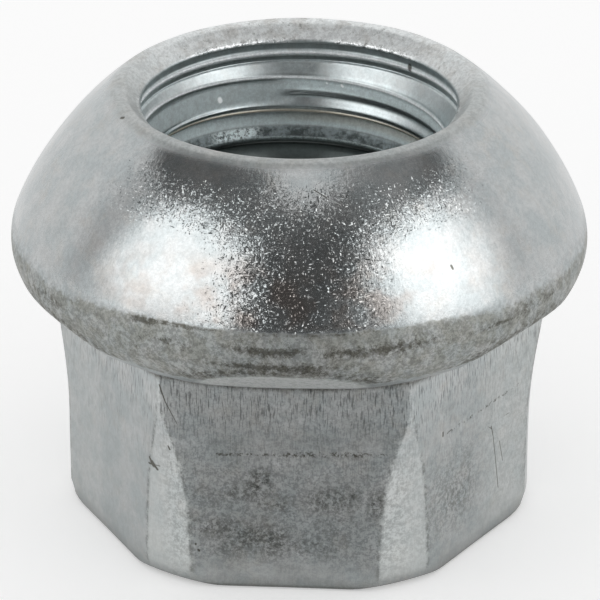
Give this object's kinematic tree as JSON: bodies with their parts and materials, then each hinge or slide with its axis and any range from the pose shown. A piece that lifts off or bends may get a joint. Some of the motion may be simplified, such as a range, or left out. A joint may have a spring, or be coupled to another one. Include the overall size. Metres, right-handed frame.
{
  "type": "lug nut",
  "caption": "Open-ended wheel lug nut with a hexagon for the wrench and a ball seat that centres the wheel, threaded right through.",
  "frame": {"origin": "centre of the wrench-end face, on the bore's axis", "axes": "+Z along the bore from the wrench end to the ball seat; -Y faces one of the hexagon's flats"},
  "size_m": [0.0256, 0.0256, 0.0198],
  "materials": {
    "plated_steel": "bright zinc plating over a forged surface, satin, polished on the ball seat, worn and grimy under the rolled edge"
  },
  "bodies": {
    "root": {"lug_nut": "plated_steel"}
  },
  "joints": []
}
